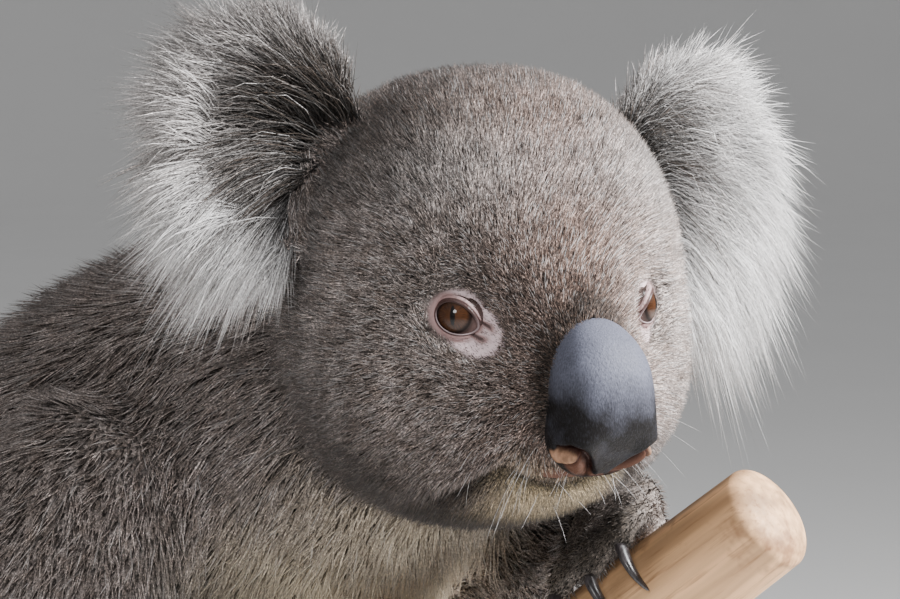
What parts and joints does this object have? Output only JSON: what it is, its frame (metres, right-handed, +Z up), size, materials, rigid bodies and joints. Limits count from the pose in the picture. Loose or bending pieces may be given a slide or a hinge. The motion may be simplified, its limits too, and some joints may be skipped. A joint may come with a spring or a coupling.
{
  "type": "koala",
  "caption": "Life-size still koala crouched on a short sloping length of bare branch, its head turned aside, held over a flat base by upright rods.",
  "frame": {"origin": "centre of the base's underside", "axes": "+Z up, the koala's body faces -Y and its left side is +X"},
  "size_m": [0.3073, 0.5102, 0.5439],
  "materials": {
    "coat_grey": "dense grey fur, salt and pepper",
    "coat_pale": "long pale ear fringes over grey fur",
    "nose_leather": "bare dark leathery skin",
    "eye_brown": "wet glossy eye with an upright slit pupil",
    "claw_horn": "dark horn",
    "bare_wood": "bare weathered branch with sawn ends",
    "base_wood": "dark satin board",
    "rod_steel": "plain steel rod"
  },
  "bodies": {
    "root": {"claw_foot_left_1": "claw_horn", "claw_foot_left_2": "claw_horn", "claw_foot_left_3": "claw_horn", "claw_foot_left_4": "claw_horn", "claw_foot_right_1": "claw_horn", "claw_foot_right_2": "claw_horn", "claw_foot_right_3": "claw_horn", "claw_foot_right_4": "claw_horn", "claw_hand_left_1": "claw_horn", "claw_hand_left_2": "claw_horn", "claw_hand_left_3": "claw_horn", "claw_hand_left_4": "claw_horn", "claw_hand_left_5": "claw_horn", "claw_hand_right_1": "claw_horn", "claw_hand_right_2": "claw_horn", "claw_hand_right_3": "claw_horn", "claw_hand_right_4": "claw_horn", "claw_hand_right_5": "claw_horn", "ear_left": "coat_pale", "ear_right": "coat_pale", "eye_left": "eye_brown", "eye_right": "eye_brown", "foot_left": "coat_grey", "foot_right": "coat_grey", "forearm_left": "coat_grey", "forearm_right": "coat_grey", "hand_left": "coat_grey", "hand_right": "coat_grey", "head": "coat_grey", "log": "bare_wood", "lower_jaw": "coat_grey", "neck": "coat_grey", "nose": "nose_leather", "shank_left": "coat_grey", "shank_right": "coat_grey", "stand_base": "base_wood", "stand_rod_back": "rod_steel", "stand_rod_front": "rod_steel", "thigh_left": "coat_grey", "thigh_right": "coat_grey", "trunk": "coat_grey", "upper_arm_left": "coat_grey", "upper_arm_right": "coat_grey"}
  },
  "joints": []
}
